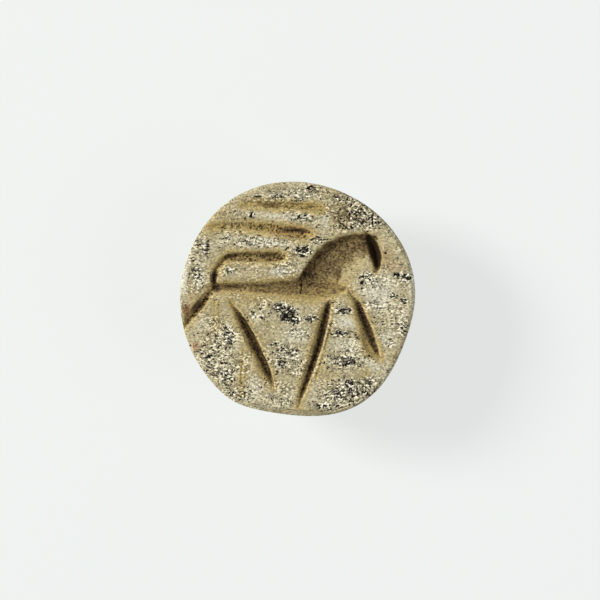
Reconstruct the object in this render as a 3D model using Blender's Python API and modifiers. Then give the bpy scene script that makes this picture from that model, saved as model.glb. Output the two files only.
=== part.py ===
"""A pierced stone stamp seal: a low dome whose flat face carries an engraved animal.

The seal lies on the worn spot of its domed back, with the engraved face up.
X runs along the animal from rump to chest, Y from its feet to its back, and Z up.
The origin is on the surface that the seal lies on, under the middle of the face.
Strokes are written in millimetres on the face, and every mesh is in metres.
"""

import bmesh
import bpy
from math import atan2, cos, exp, pi, radians, sin, sqrt

MM = 0.001

# Driving dimensions, in millimetres
FACE_RADIUS = 10.0        # mean radius of the seal, measured at its widest
DOME_DEPTH = 9.6          # how far the full dome would reach below the face
SPOT_RADIUS = 3.5         # the flat worn on the dome's back
RIM_WIDTH = 0.70          # how far the worn rim reaches in from the outline
RIM_DROP = 0.60           # how far it falls below the face
HOLE_RADIUS = 1.2         # the string hole, drilled from both sides
HOLE_MOUTH = 1.45         # its radius where the string has worn the mouths
HOLE_FLARE = 1.2          # how far in the mouths begin to widen
HOLE_BELOW_FACE = 4.8     # its axis, measured down from the face

# What follows from them
HEIGHT = DOME_DEPTH * sqrt(1 - (SPOT_RADIUS / FACE_RADIUS) ** 2)
HOLE_HEIGHT = HEIGHT - HOLE_BELOW_FACE

# How finely round shapes are cut up
TURN_STEPS = 96
DOME_RINGS = 14
RIM_RINGS = 4
SPAN_STEPS = 3            # pieces between two points of a stroke
SECTION_STEPS = 8         # pieces across a stroke's section
SHARP_ANGLE = 32          # degrees, past which an edge stays crisp

# The outline isn't quite round: flats ground by hand (negative) and fuller
# places between them, as (direction in degrees, height, spread in degrees)
OUTLINE_MARKS = (
    (15, 0.09, 14),
    (65, -0.13, 16),
    (120, 0.17, 16),
    (185, -0.10, 22),
    (237, 0.20, 9),
    (262, -0.26, 13),
    (302, 0.33, 14),
    (340, -0.22, 13),
)

# The tools that cut the face, as (depth for a half-width of 1, roundness of
# the bottom, where the deepest line lies from -1, left, to 1, right of the way cut)
GRAVER = (1.15, 1.5, 0.0)
FINE_GRAVER = (1.10, 1.7, 0.0)
FLAT_GRAVER = (0.70, 2.2, 0.0)
GOUGE = (0.92, 2.4, 0.0)
NECK_GOUGE = (0.43, 1.8, -0.40)
HEAD_GRAVER = (1.45, 1.5, 0.15)

# The engraved strokes: (x, y, half-width) where the cutting edge went
TOP_STROKE = (
    (-4.60, 8.00, 0.10), (-3.40, 8.06, 0.28), (-1.50, 7.96, 0.36),
    (0.40, 7.85, 0.34), (1.90, 7.68, 0.28), (2.45, 7.58, 0.12),
)
SECOND_STROKE = (
    (-8.10, 6.22, 0.16), (-6.60, 6.26, 0.24), (-4.80, 6.28, 0.25), (-3.00, 6.20, 0.30),
    (-1.50, 5.98, 0.42), (-0.10, 5.72, 0.47), (0.80, 5.62, 0.42), (1.28, 5.58, 0.20),
)
TAIL = (
    (-7.05, 0.80, 0.24), (-7.12, 1.50, 0.28), (-7.05, 2.10, 0.28), (-6.82, 2.68, 0.28),
    (-6.42, 3.18, 0.32), (-5.85, 3.54, 0.38), (-5.00, 3.65, 0.40), (-3.50, 3.65, 0.42),
    (-2.00, 3.64, 0.43), (-1.35, 3.62, 0.40), (-1.12, 3.62, 0.24),
)
BODY = (
    (-7.50, 0.85, 0.25), (-6.60, 0.98, 0.50), (-4.50, 0.98, 0.56), (-2.50, 0.98, 0.62),
    (-0.80, 1.04, 0.76), (0.80, 1.10, 0.98), (2.00, 1.06, 0.98), (3.10, 1.00, 0.82),
    (3.90, 0.95, 0.40),
)
NECK = (
    (0.40, 1.10, 0.60), (1.05, 1.16, 1.15), (1.80, 1.35, 1.60), (2.60, 1.92, 1.72),
    (3.30, 2.65, 1.78), (4.10, 3.40, 1.70), (4.90, 4.05, 1.50), (5.70, 4.50, 1.18),
    (6.40, 4.80, 0.85), (6.90, 4.98, 0.40),
)
HEAD = (
    (5.80, 5.62, 0.20), (6.05, 5.25, 0.52), (6.38, 4.60, 0.76), (6.68, 3.95, 0.78),
    (6.85, 3.30, 0.62), (6.82, 2.70, 0.40), (6.70, 2.20, 0.14),
)
HIND_LEG = (
    (-5.70, 0.00, 0.10), (-5.30, -0.80, 0.32), (-4.75, -1.80, 0.46), (-3.95, -3.30, 0.53),
    (-3.20, -4.80, 0.50), (-2.60, -6.10, 0.42), (-2.20, -6.90, 0.26), (-1.98, -7.35, 0.10),
)
OUTER_HIND_LEG = (
    (-7.00, 1.00, 0.30), (-7.60, 0.22, 0.42), (-8.12, -0.45, 0.42), (-8.70, -1.20, 0.38),
    (-9.15, -1.85, 0.30), (-9.60, -2.50, 0.20),
)
MIDDLE_LEG = (
    (2.85, 0.50, 0.30), (2.62, -0.70, 0.44), (2.28, -2.00, 0.51), (1.84, -3.70, 0.50),
    (1.34, -5.20, 0.46), (0.80, -6.70, 0.38), (0.35, -8.10, 0.29), (0.12, -8.95, 0.10),
)
FRONT_LEG = (
    (4.10, 1.05, 0.20), (4.78, 0.15, 0.38), (5.25, -0.60, 0.50), (5.74, -1.80, 0.54),
    (6.14, -2.80, 0.54), (6.54, -3.80, 0.47), (6.84, -4.50, 0.32), (7.04, -5.00, 0.12),
)
FRONT_HOOF = (
    (5.40, -2.00, 0.12), (5.70, -2.90, 0.36), (6.10, -3.68, 0.54), (6.55, -4.38, 0.48),
    (6.98, -5.00, 0.16),
)

STONE_COLOUR = (0.47, 0.42, 0.32, 1.0)
STONE_ROUGHNESS = 0.72


def clear_scene():
    """Remove whatever objects the open file holds."""
    for thing in list(bpy.data.objects):
        bpy.data.objects.remove(thing, do_unlink=True)


def make_collection(name):
    """A new collection of the scene."""
    collection = bpy.data.collections.new(name)
    bpy.context.scene.collection.children.link(collection)
    return collection


def add_object(name, data, collection):
    """An object for a mesh or a curve, in its collection."""
    thing = bpy.data.objects.new(name, data)
    collection.objects.link(thing)
    return thing


def stone_material():
    """Pale, dull, fine-grained stone."""
    material = bpy.data.materials.new("pale_stone")
    material.use_nodes = True
    shader = material.node_tree.nodes["Principled BSDF"]
    shader.inputs["Base Color"].default_value = STONE_COLOUR
    shader.inputs["Roughness"].default_value = STONE_ROUGHNESS
    shader.inputs["Metallic"].default_value = 0.0
    return material


def half_profile():
    """The seal's outline from the middle of its face to the middle of its spot.

    The worn rim is a quarter ellipse that meets the face level, and the back is
    the rest of the half ellipse that the whole dome follows.
    """
    points = [(0.0, HEIGHT)]
    side_top = FACE_RADIUS * sqrt(1 - (RIM_DROP / DOME_DEPTH) ** 2)
    for step in range(RIM_RINGS + 1):
        turn = pi / 2 * step / RIM_RINGS
        radius = side_top - RIM_WIDTH * (1 - sin(turn))
        height = HEIGHT - RIM_DROP * (1 - cos(turn))
        points.append((radius, height))
    first = atan2(RIM_DROP / DOME_DEPTH, side_top / FACE_RADIUS)
    last = atan2(HEIGHT / DOME_DEPTH, SPOT_RADIUS / FACE_RADIUS)
    for step in range(1, DOME_RINGS + 1):
        angle = first + (last - first) * step / DOME_RINGS
        points.append((FACE_RADIUS * cos(angle), HEIGHT - DOME_DEPTH * sin(angle)))
    points[-1] = (SPOT_RADIUS, 0.0)
    points.append((0.0, 0.0))
    return points


def turned_mesh(name, points):
    """The closed body that a profile of (radius, height) sweeps round Z."""
    mesh = bpy.data.meshes.new(name)
    vertices = [(radius * MM, 0.0, height * MM) for radius, height in points]
    edges = [(index, index + 1) for index in range(len(points) - 1)]
    mesh.from_pydata(vertices, edges, [])
    turned = add_object(name, mesh, bpy.context.scene.collection)
    screw = turned.modifiers.new("turn", "SCREW")
    screw.angle = 2 * pi
    screw.steps = TURN_STEPS
    screw.render_steps = TURN_STEPS
    screw.use_merge_vertices = True
    screw.merge_threshold = 1e-7
    return settled_mesh(turned)


def settled_mesh(thing):
    """The evaluated shape of an object as a welded, outward-facing mesh of its own."""
    bpy.context.view_layer.update()
    evaluated = thing.evaluated_get(bpy.context.evaluated_depsgraph_get())
    mesh = bpy.data.meshes.new_from_object(evaluated)
    work = bmesh.new()
    work.from_mesh(mesh)
    bmesh.ops.remove_doubles(work, verts=work.verts, dist=1e-7)
    bmesh.ops.recalc_face_normals(work, faces=work.faces)
    work.to_mesh(mesh)
    work.free()
    mesh.name = thing.name
    bpy.data.objects.remove(thing, do_unlink=True)
    return mesh


def outline_swell(direction):
    """How far the outline stands out from a circle in a direction, in millimetres."""
    swell = 0.0
    for mark, height, spread in OUTLINE_MARKS:
        away = (direction - mark + 180) % 360 - 180
        swell += height * exp(-0.5 * (away / spread) ** 2)
    return swell


def shape_outline(mesh):
    """Give a round blank its hand-ground outline, fully at the face and less below."""
    for vertex in mesh.vertices:
        direction = atan2(vertex.co.y, vertex.co.x) * 180 / pi
        share = vertex.co.z / (HEIGHT * MM)
        scale = 1 + share * outline_swell(direction) / FACE_RADIUS
        vertex.co.x *= scale
        vertex.co.y *= scale


def tool_section(name, tool, collection):
    """The cross-section of a tool's cut, as a closed curve a half-width of 1 wide.

    It follows the same rule a little past the face, so that the cutter stands
    clear of the surface it cuts.
    """
    depth, roundness, deepest = tool
    past_face = 1.16
    curve = bpy.data.curves.new(name, "CURVE")
    curve.dimensions = "2D"
    spline = curve.splines.new("POLY")
    spline.points.add(SECTION_STEPS)
    for step, point in enumerate(spline.points):
        across = past_face * (2 * step / SECTION_STEPS - 1)
        reach = past_face - deepest if across > deepest else past_face + deepest
        share = past_face * abs(across - deepest) / reach
        point.co = (across * MM, -depth * (1 - share ** roundness) * MM, 0.0, 1.0)
    spline.use_cyclic_u = True
    section = add_object(name, curve, collection)
    mark_as_cutter(section)
    return section


def smooth_path(points):
    """Points along a smooth line through the given ones, by Catmull and Rom's rule."""
    padded = [points[0]] + list(points) + [points[-1]]
    path = []
    for index in range(1, len(padded) - 2):
        before, start, end, after = padded[index - 1:index + 3]
        for step in range(SPAN_STEPS):
            t = step / SPAN_STEPS
            path.append(tuple(
                0.5 * (2 * b + (c - a) * t + (2 * a - 5 * b + 4 * c - d) * t ** 2
                       + (3 * b - a - 3 * c + d) * t ** 3)
                for a, b, c, d in zip(before, start, end, after)))
    path.append(points[-1])
    return path


def mark_as_cutter(thing):
    """A cutter or guide shows as wires and isn't part of the object."""
    thing.hide_render = True
    thing.display_type = "WIRE"


def stroke_cutter(name, points, tool, collection):
    """The body that one engraved stroke takes out of the face."""
    section = tool_section(name + "_section", tool, collection)
    curve = bpy.data.curves.new(name, "CURVE")
    curve.dimensions = "3D"
    curve.twist_mode = "Z_UP"
    curve.bevel_mode = "OBJECT"
    curve.bevel_object = section
    curve.use_fill_caps = True
    path = smooth_path(points)
    spline = curve.splines.new("POLY")
    spline.points.add(len(path) - 1)
    for point, (x, y, half_width) in zip(spline.points, path):
        point.co = (x * MM, y * MM, HEIGHT * MM, 1.0)
        point.radius = half_width
    swept = add_object(name, curve, collection)
    place = swept.matrix_world.copy()
    cutter = add_object(name, settled_mesh(swept), collection)
    cutter.matrix_world = place
    mark_as_cutter(cutter)
    bpy.data.objects.remove(section, do_unlink=True)
    return cutter


def hole_cutter(collection):
    """The string hole along X, with mouths that widen where the dome's side is."""
    mouth = FACE_RADIUS * sqrt(1 - (HOLE_BELOW_FACE / DOME_DEPTH) ** 2)
    reach = FACE_RADIUS + 2.0
    neck = mouth - HOLE_FLARE
    outer = HOLE_MOUTH + (HOLE_MOUTH - HOLE_RADIUS) / HOLE_FLARE * (reach - mouth)
    profile = [
        (0.0, reach), (outer, reach), (HOLE_MOUTH, mouth), (HOLE_RADIUS, neck),
        (HOLE_RADIUS, -neck), (HOLE_MOUTH, -mouth), (outer, -reach), (0.0, -reach),
    ]
    cutter = add_object("string_hole", turned_mesh("string_hole", profile), collection)
    cutter.rotation_euler = (0.0, radians(90), 0.0)
    cutter.location = (0.0, 0.0, HOLE_HEIGHT * MM)
    mark_as_cutter(cutter)
    return cutter


def cut(thing, cutter):
    """Take a cutter's body out of an object."""
    modifier = thing.modifiers.new("cut_" + cutter.name, "BOOLEAN")
    modifier.operation = "DIFFERENCE"
    modifier.solver = "EXACT"
    modifier.object = cutter


def build_seal():
    """The blank, its string hole and its engraving."""
    parts = make_collection("stamp_seal")
    cutters = make_collection("cutters")
    blank = turned_mesh("seal", half_profile())
    shape_outline(blank)
    seal = add_object("seal", blank, parts)
    seal.data.materials.append(stone_material())
    cut(seal, hole_cutter(cutters))
    strokes = (
        ("body", BODY, GOUGE),
        ("neck", NECK, NECK_GOUGE),
        ("head", HEAD, HEAD_GRAVER),
        ("tail", TAIL, FINE_GRAVER),
        ("hind_leg", HIND_LEG, GRAVER),
        ("outer_hind_leg", OUTER_HIND_LEG, GRAVER),
        ("middle_leg", MIDDLE_LEG, GRAVER),
        ("front_leg", FRONT_LEG, GRAVER),
        ("front_hoof", FRONT_HOOF, FLAT_GRAVER),
        ("top_stroke", TOP_STROKE, FLAT_GRAVER),
        ("second_stroke", SECOND_STROKE, FLAT_GRAVER),
    )
    for name, points, tool in strokes:
        cut(seal, stroke_cutter(name, points, tool, cutters))
    carved = add_object("seal", settled_mesh(seal), parts)
    carved.data.shade_smooth()
    carved.data.set_sharp_from_angle(angle=radians(SHARP_ANGLE))
    return carved


clear_scene()
build_seal()
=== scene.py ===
# %% [markdown]
# # A pierced stone stamp seal
#
# This lesson dresses one small object: a stone dome about 20 mm across, whose flat
# face is engraved with a walking animal. The imported solid gives the size and the main
# form of the engraving. What it leaves out is made here: the worn lips of the
# strokes with a painted highlight on their lit side, pits, tool marks, stains, and the
# earth that has stayed in the cuts, which also paints the shade on their shaded walls.

# %% Load the imported seal
from math import atan2, cos, hypot, pi, radians, sin, sqrt

import bmesh
import bpy
import numpy as np
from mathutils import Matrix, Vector, noise


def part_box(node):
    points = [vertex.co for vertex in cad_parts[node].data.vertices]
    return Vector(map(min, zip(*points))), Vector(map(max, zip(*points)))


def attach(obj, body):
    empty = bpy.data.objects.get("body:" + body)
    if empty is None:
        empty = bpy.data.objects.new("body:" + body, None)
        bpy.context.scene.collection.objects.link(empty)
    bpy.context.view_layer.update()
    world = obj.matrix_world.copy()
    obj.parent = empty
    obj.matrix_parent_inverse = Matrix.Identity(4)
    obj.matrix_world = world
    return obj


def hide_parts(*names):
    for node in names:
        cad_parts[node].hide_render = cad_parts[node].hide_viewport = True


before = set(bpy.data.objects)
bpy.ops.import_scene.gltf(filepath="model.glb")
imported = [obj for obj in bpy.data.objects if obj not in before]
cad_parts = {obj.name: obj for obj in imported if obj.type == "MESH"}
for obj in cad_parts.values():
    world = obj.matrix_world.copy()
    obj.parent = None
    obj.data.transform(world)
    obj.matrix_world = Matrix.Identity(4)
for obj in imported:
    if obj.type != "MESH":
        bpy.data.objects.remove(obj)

bpy.context.view_layer.update()

# %% The seal's main sizes, in millimetres
MM = 0.001
FACE_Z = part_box("seal")[1].z / MM
FACE_RADIUS = 10.0        # mean radius, at its widest
DOME_DEPTH = 9.6          # how far the full dome would reach below the face
SPOT_RADIUS = 3.5         # the flat worn on the dome's back
RIM_WIDTH = 0.38          # how far the worn rim reaches in
RIM_DROP = 0.34           # and how far it falls
SIDE_RADIUS = FACE_RADIUS * sqrt(1 - (RIM_DROP / DOME_DEPTH) ** 2)
print(f"face {FACE_Z:.2f} mm up, widest radius {SIDE_RADIUS:.2f} mm")

# %% [markdown]
# ## Camera, light and floor
#
# The photo looks straight down on the engraved face from some way off, so a long
# lens is used. The distance follows from the lens and from how much of the picture
# the face fills. Stone of this kind is read by its shadows: one low softbox on the
# left rakes across the face, a weaker one on the right keeps the shadows open.

# %% The camera that looks down on the face
PHOTO_SIZE = 600          # pixels across the photo
FACE_PIXELS = 237.2       # the seal's mean width in it, in pixels
FACE_MIDDLE = (297.1, 299.7)
LENS = 135.0
SENSOR = 36.0

pixels_per_mm = FACE_PIXELS / (2 * FACE_RADIUS)
view_width = PHOTO_SIZE / pixels_per_mm
camera_height = view_width * LENS / SENSOR

lens = bpy.data.cameras.new("camera")
lens.lens = LENS
lens.sensor_width = SENSOR
lens.clip_start = 0.01
camera = bpy.data.objects.new("camera", lens)
camera.location = (
    (PHOTO_SIZE / 2 - FACE_MIDDLE[0]) / pixels_per_mm * MM,
    (FACE_MIDDLE[1] - PHOTO_SIZE / 2) / pixels_per_mm * MM,
    (FACE_Z + camera_height) * MM,
)
bpy.context.scene.collection.objects.link(camera)
bpy.context.scene.camera = camera
print(f"camera {camera_height:.0f} mm above the face")

# %% Softboxes and the light of the room
LAMP_DISTANCE = 0.8       # metres


def softbox(name, azimuth, elevation, share, width, tint):
    """A square lamp. share is what it alone would give a level white floor."""
    lamp = bpy.data.lights.new(name, "AREA")
    lamp.size = width
    lamp.color = tint
    lamp.energy = share * pi ** 2 * LAMP_DISTANCE ** 2 / sin(radians(elevation))
    towards = Vector((
        cos(radians(azimuth)) * cos(radians(elevation)),
        sin(radians(azimuth)) * cos(radians(elevation)),
        sin(radians(elevation)),
    ))
    box = bpy.data.objects.new(name, lamp)
    box.location = towards * LAMP_DISTANCE
    box.rotation_euler = towards.to_track_quat("Z", "Y").to_euler()
    bpy.context.scene.collection.objects.link(box)
    return lamp.energy


key_power = softbox("key_light", 160, 36, 0.62, 0.22, (1.0, 0.99, 0.97))
fill_power = softbox("fill_light", -15, 42, 0.16, 0.40, (0.97, 0.99, 1.0))

room = bpy.data.worlds.new("room")
bpy.context.scene.world = room
room.use_nodes = True
ROOM_SHARE = 0.20
room.node_tree.nodes["Background"].inputs["Color"].default_value = (1, 1, 1, 1)
room.node_tree.nodes["Background"].inputs["Strength"].default_value = ROOM_SHARE
bpy.context.scene.view_settings.view_transform = "Standard"
print(f"key {key_power:.1f} W, fill {fill_power:.1f} W")

# %% A pale floor that glows a little, as paper on a light table does
FLOOR_REACH = 1.5         # metres


def pale_floor():
    """A level sheet under the seal, whose own glow keeps the shadows on it faint."""
    work = bmesh.new()
    bmesh.ops.create_grid(work, x_segments=1, y_segments=1, size=FLOOR_REACH)
    mesh = bpy.data.meshes.new("floor")
    work.to_mesh(mesh)
    work.free()
    material = bpy.data.materials.new("pale_paper")
    material.use_nodes = True
    shader = material.node_tree.nodes["Principled BSDF"]
    shader.inputs["Base Color"].default_value = (0.20, 0.21, 0.205, 1)
    shader.inputs["Roughness"].default_value = 0.9
    shader.inputs["Specular IOR Level"].default_value = 0.1
    shader.inputs["Emission Color"].default_value = (0.97, 1.0, 0.985, 1)
    shader.inputs["Emission Strength"].default_value = 0.69
    mesh.materials.append(material)
    floor = bpy.data.objects.new("floor", mesh)
    bpy.context.scene.collection.objects.link(floor)
    return floor


pale_floor()

# %% [markdown]
# ## The blank
#
# A turned shape is often spun round its axis, but that crowds its faces at the
# middle, just where the engraving needs an even net. So the face and the back are
# each made from a square grid that is drawn out into a disc: a square ring of the
# grid becomes a round one. Both follow one half profile of the seal.

# %% The half profile, from the middle of the face to the middle of the back
FACE_SQUARES = 272        # squares along the face's grid
BACK_SQUARES = 136
PROFILE_STEPS = 60


def half_profile():
    """Radii and heights of the face and worn rim, then of the dome down to its spot."""
    turns = np.linspace(0, pi / 2, PROFILE_STEPS)
    face = np.column_stack([
        SIDE_RADIUS - RIM_WIDTH * (1 - np.sin(turns)),
        FACE_Z - RIM_DROP * (1 - np.cos(turns)),
    ])
    face = np.vstack([[0.0, FACE_Z], face])
    first = atan2(RIM_DROP / DOME_DEPTH, SIDE_RADIUS / FACE_RADIUS)
    last = atan2(FACE_Z / DOME_DEPTH, SPOT_RADIUS / FACE_RADIUS)
    angles = np.linspace(last, first, PROFILE_STEPS)
    back = np.column_stack([
        FACE_RADIUS * np.cos(angles),
        FACE_Z - DOME_DEPTH * np.sin(angles),
    ])
    back = np.vstack([[0.0, 0.0], back])
    return face, back


def by_length(path, shares):
    """Points at shares of a path's own length."""
    steps = np.hypot(*np.diff(path, axis=0).T)
    run = np.concatenate([[0.0], np.cumsum(steps)])
    return [np.interp(shares * run[-1], run, column) for column in path.T]


FACE_PATH, BACK_PATH = half_profile()
face_length = np.hypot(*np.diff(FACE_PATH, axis=0).T).sum()
back_length = np.hypot(*np.diff(BACK_PATH, axis=0).T).sum()
print(f"middle to rim {face_length:.1f} mm, middle of the back to rim {back_length:.1f} mm")

# %% Two round sheets from square grids
FACE_PART, BACK_PART, HOLE_PART = 0, 1, 2


def square_to_disc(u, v):
    """A place in a square, as the share of the radius and the direction in a disc.

    Square rings become round ones of the same share of the area.
    """
    if abs(u) < 1e-9 and abs(v) < 1e-9:
        return 0.0, 0.0
    if abs(u) >= abs(v):
        return abs(u), pi / 4 * v / u + (pi if u < 0 else 0.0)
    return abs(v), pi / 2 - pi / 4 * u / v + (pi if v < 0 else 0.0)


def round_sheet(work, squares, path, reach, part):
    """A grid drawn out into a disc that follows a profile, up to a share of its length."""
    part_of = work.faces.layers.int["part_of"]
    share_of = work.verts.layers.float["share"]
    turn_of = work.verts.layers.float["turn"]
    made = bmesh.ops.create_grid(work, x_segments=squares, y_segments=squares, size=1)
    places = [square_to_disc(vert.co.x, vert.co.y) for vert in made["verts"]]
    radii, heights = by_length(path, np.array([share for share, _ in places]) * reach)
    for vert, (share, turn), radius, height in zip(made["verts"], places, radii, heights):
        vert.co = (radius * cos(turn), radius * sin(turn), height)
        vert[share_of] = share * reach
        vert[turn_of] = turn
    for face in {face for vert in made["verts"] for face in vert.link_faces}:
        face[part_of] = part
        face.smooth = True
    return made["verts"]


blank = bmesh.new()
blank.faces.layers.int.new("part_of")
for layer in ("share", "turn", "out", "bore"):
    blank.verts.layers.float.new(layer)
round_sheet(blank, FACE_SQUARES, FACE_PATH, 1.0, FACE_PART)
round_sheet(blank, BACK_SQUARES, BACK_PATH, 1 - 0.5 * pi / BACK_SQUARES, BACK_PART)
print("two sheets:", len(blank.faces), "squares")

# %% Join the sheets round the rim
rim_edges = [edge for edge in blank.edges if edge.is_boundary]
band = bmesh.ops.bridge_loops(blank, edges=rim_edges)
for face in band["faces"]:
    face[blank.faces.layers.int["part_of"]] = BACK_PART
    face.smooth = True
open_edges = sum(edge.is_boundary for edge in blank.edges)
print("rim band:", len(band["faces"]), "faces,", open_edges, "open edges left")

# %% [markdown]
# ## The string hole
#
# The seal hung from a string. Its hole was drilled through the dome from both
# sides, and the string has rounded the mouths. A Boolean would cut it in one step
# but leave a ragged, sharp edge. Here the squares over each mouth are taken out,
# the edge is drawn into a circle, and rings are pulled in from it, so that the
# rounding is part of the shape.

# %% Open the two mouths and pull their rings in
HOLE_RADIUS = 1.2
HOLE_Z = FACE_Z - 4.8     # the height of its axis
MOUTH_RADIUS = 1.72       # where the rounding of the mouth begins
MOUTH_RINGS = 8
MOUTH_REACH = 1.5         # how far in the rounding ends
BORE_RINGS = 16


def dome_side(y, z):
    """How far out the dome's side is, along X."""
    return sqrt(max(0.0, FACE_RADIUS ** 2 * (1 - ((FACE_Z - z) / DOME_DEPTH) ** 2) - y * y))


def from_axis(point):
    """The distance from the hole's axis and the direction round it."""
    return hypot(point.y, point.z - HOLE_Z), atan2(point.z - HOLE_Z, point.y)


def pull_ring(work, edges, place):
    """Extrude an open loop and put each new point where place says."""
    part_of = work.faces.layers.int["part_of"]
    bore = work.verts.layers.float["bore"]
    made = bmesh.ops.extrude_edge_only(work, edges=edges)["geom"]
    for item in made:
        if isinstance(item, bmesh.types.BMVert):
            item.co = place(item)
            item[bore] = 1.0
        elif isinstance(item, bmesh.types.BMFace):
            item[part_of] = HOLE_PART
            item.smooth = True
    return [item for item in made if isinstance(item, bmesh.types.BMEdge) and item.is_boundary]


def open_mouth(work, side):
    """Cut one mouth and line it with rings. It returns the inner ring."""
    out = work.verts.layers.float["out"]
    over = [
        face for face in work.faces
        if face.calc_center_median().x * side > 0
        and from_axis(face.calc_center_median())[0] < MOUTH_RADIUS
    ]
    bmesh.ops.delete(work, geom=over, context="FACES")
    ring = [edge for edge in work.edges if edge.is_boundary and edge.verts[0].co.x * side > 0]
    for vert in {vert for edge in ring for vert in edge.verts}:
        turn = from_axis(vert.co)[1]
        y = MOUTH_RADIUS * cos(turn)
        z = HOLE_Z + MOUTH_RADIUS * sin(turn)
        vert[out] = dome_side(y, z)
        vert.co = (side * vert[out], y, z)
    plane = dome_side(0.0, HOLE_Z) - MOUTH_REACH

    def on_ring(radius, share):
        """Places on a ring of some radius, a share of the way in to the bore."""
        def place(vert):
            turn = from_axis(vert.co)[1]
            x = vert[out] + (plane - vert[out]) * share
            return (side * x, radius * cos(turn), HOLE_Z + radius * sin(turn))
        return place

    for step in range(1, MOUTH_RINGS + 1):
        angle = pi / 2 * step / MOUTH_RINGS
        radius = MOUTH_RADIUS - (MOUTH_RADIUS - HOLE_RADIUS) * sin(angle)
        ring = pull_ring(work, ring, on_ring(radius, 1 - cos(angle)))
    for step in range(1, BORE_RINGS):
        x = side * plane * (1 - step / BORE_RINGS)
        ring = pull_ring(work, ring, lambda vert: (x, vert.co.y, vert.co.z))
    return ring


rings = open_mouth(blank, -1) + open_mouth(blank, 1)
middle = bmesh.ops.bridge_loops(blank, edges=rings)
for face in middle["faces"]:
    face[blank.faces.layers.int["part_of"]] = HOLE_PART
    face.smooth = True
bmesh.ops.recalc_face_normals(blank, faces=blank.faces)
open_edges = sum(edge.is_boundary for edge in blank.edges)
print("with its hole:", len(blank.faces), "faces,", open_edges, "open edges left")

# %% [markdown]
# ## The outline
#
# The seal was ground round by hand, so its outline has a few flats with fuller
# places between them. They are strongest at the face and fade towards the back.

# %% Flats and fuller places: (direction and spread in degrees, height in mm)
OUTLINE_MARKS = (
    (15, 14, 0.09),
    (65, 16, -0.13),
    (120, 16, 0.17),
    (185, 22, -0.10),
    (237, 9, 0.20),
    (262, 13, -0.26),
    (302, 14, 0.33),
    (340, 13, -0.22),
)


def arcs(direction, marks):
    """The sum of some soft-edged arcs, each (direction, spread, height), at directions."""
    total = np.zeros_like(direction)
    for mark, spread, height in marks:
        away = (direction - mark + 180) % 360 - 180
        total += height * np.exp(-0.5 * (away / spread) ** 2)
    return total


def outline_swell(x, y):
    """How far the outline stands out from a circle, for arrays of places."""
    return arcs(np.degrees(np.arctan2(y, x)), OUTLINE_MARKS)


FIT = 0.998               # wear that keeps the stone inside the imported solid's box
for vert in blank.verts:
    swell = outline_swell(np.array([vert.co.x]), np.array([vert.co.y]))[0]
    grow = 1 + max(0.0, vert.co.z / FACE_Z) * swell / FACE_RADIUS
    vert.co.x *= grow * FIT
    vert.co.y *= grow * FIT
stone_mesh = bpy.data.meshes.new("seal_stone")
blank.to_mesh(stone_mesh)
blank.free()
print("blank:", len(stone_mesh.vertices), "points")

# %% [markdown]
# ## The engraving
#
# The animal was cut with a few tools: a V-edged graver for its legs, a finer one
# for its tail, a round gouge for the body and a wide, tilted one for the neck. A
# stroke is the way the tool went, with half its width at each place. They follow the
# strokes of the imported solid, set a little closer to the photo. Here they are pressed
# into the fine net of the face, so that their lips can be worn, and each keeps a
# share of earth and ochre. The earth is also painted shade: it starts higher on the
# wall that lies in shade, and a lip that faces the light gets a painted highlight.

# %% The tools
# (depth for a half-width of 1, roundness of the left and right side of the section,
# where its deepest line lies from -1, left, to 1, right of the way cut)
GRAVER = (1.15, 1.6, 1.25, -0.30)
FINE_GRAVER = (1.10, 1.7, 1.7, 0.0)
FLAT_GRAVER = (0.70, 2.2, 2.2, 0.0)
GOUGE = (0.72, 1.9, 1.6, 0.00)
NECK_GOUGE = (0.43, 1.6, 1.6, -0.60)
HEAD_GRAVER = (1.45, 1.6, 1.3, -0.25)

# %% Where the tools went: (x, y, half-width) in millimetres on the face
TOP_STROKE = (
    (-4.60, 8.00, 0.10), (-3.40, 8.06, 0.28), (-1.50, 7.96, 0.36),
    (0.40, 7.85, 0.34), (1.90, 7.68, 0.28), (2.45, 7.58, 0.12),
)
SECOND_STROKE = (
    (-7.40, 6.20, 0.10), (-6.50, 6.20, 0.26), (-4.80, 6.20, 0.35), (-3.00, 6.10, 0.40),
    (-1.50, 5.88, 0.48), (-0.10, 5.63, 0.52), (0.80, 5.52, 0.46), (1.28, 5.48, 0.22),
)
TAIL = (
    (-6.98, 0.80, 0.24), (-7.03, 1.50, 0.30), (-6.95, 2.10, 0.30), (-6.72, 2.66, 0.28),
    (-6.34, 3.14, 0.32), (-5.80, 3.50, 0.38), (-5.00, 3.60, 0.43), (-3.50, 3.58, 0.48),
    (-2.00, 3.57, 0.50), (-1.35, 3.56, 0.46), (-1.10, 3.56, 0.28),
)
BODY = (
    (-7.40, 0.95, 0.25), (-6.60, 1.00, 0.42), (-4.50, 1.00, 0.48), (-2.50, 0.90, 0.63),
    (-0.80, 0.92, 0.84), (0.80, 0.96, 1.05), (2.00, 0.92, 1.08), (3.00, 0.88, 0.84),
    (3.80, 0.88, 0.35),
)
NECK = (
    (0.45, 1.15, 0.65), (0.95, 1.25, 1.15), (1.65, 1.60, 1.55), (2.45, 2.20, 1.80),
    (3.20, 2.95, 1.88), (4.00, 3.65, 1.75), (4.80, 4.20, 1.45), (5.50, 4.55, 1.12),
    (6.10, 4.80, 0.78), (6.50, 4.95, 0.45),
)
HEAD = (
    (5.82, 5.55, 0.20), (6.00, 5.20, 0.45), (6.27, 4.65, 0.60), (6.50, 4.05, 0.62),
    (6.68, 3.40, 0.54), (6.74, 2.80, 0.34), (6.68, 2.30, 0.12),
)
HIND_LEG = (
    (-5.70, 0.00, 0.08), (-5.27, -0.80, 0.22), (-4.70, -1.80, 0.43), (-3.93, -3.30, 0.53),
    (-3.19, -4.80, 0.50), (-2.60, -6.10, 0.42), (-2.20, -6.90, 0.26), (-1.98, -7.35, 0.10),
)
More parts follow.
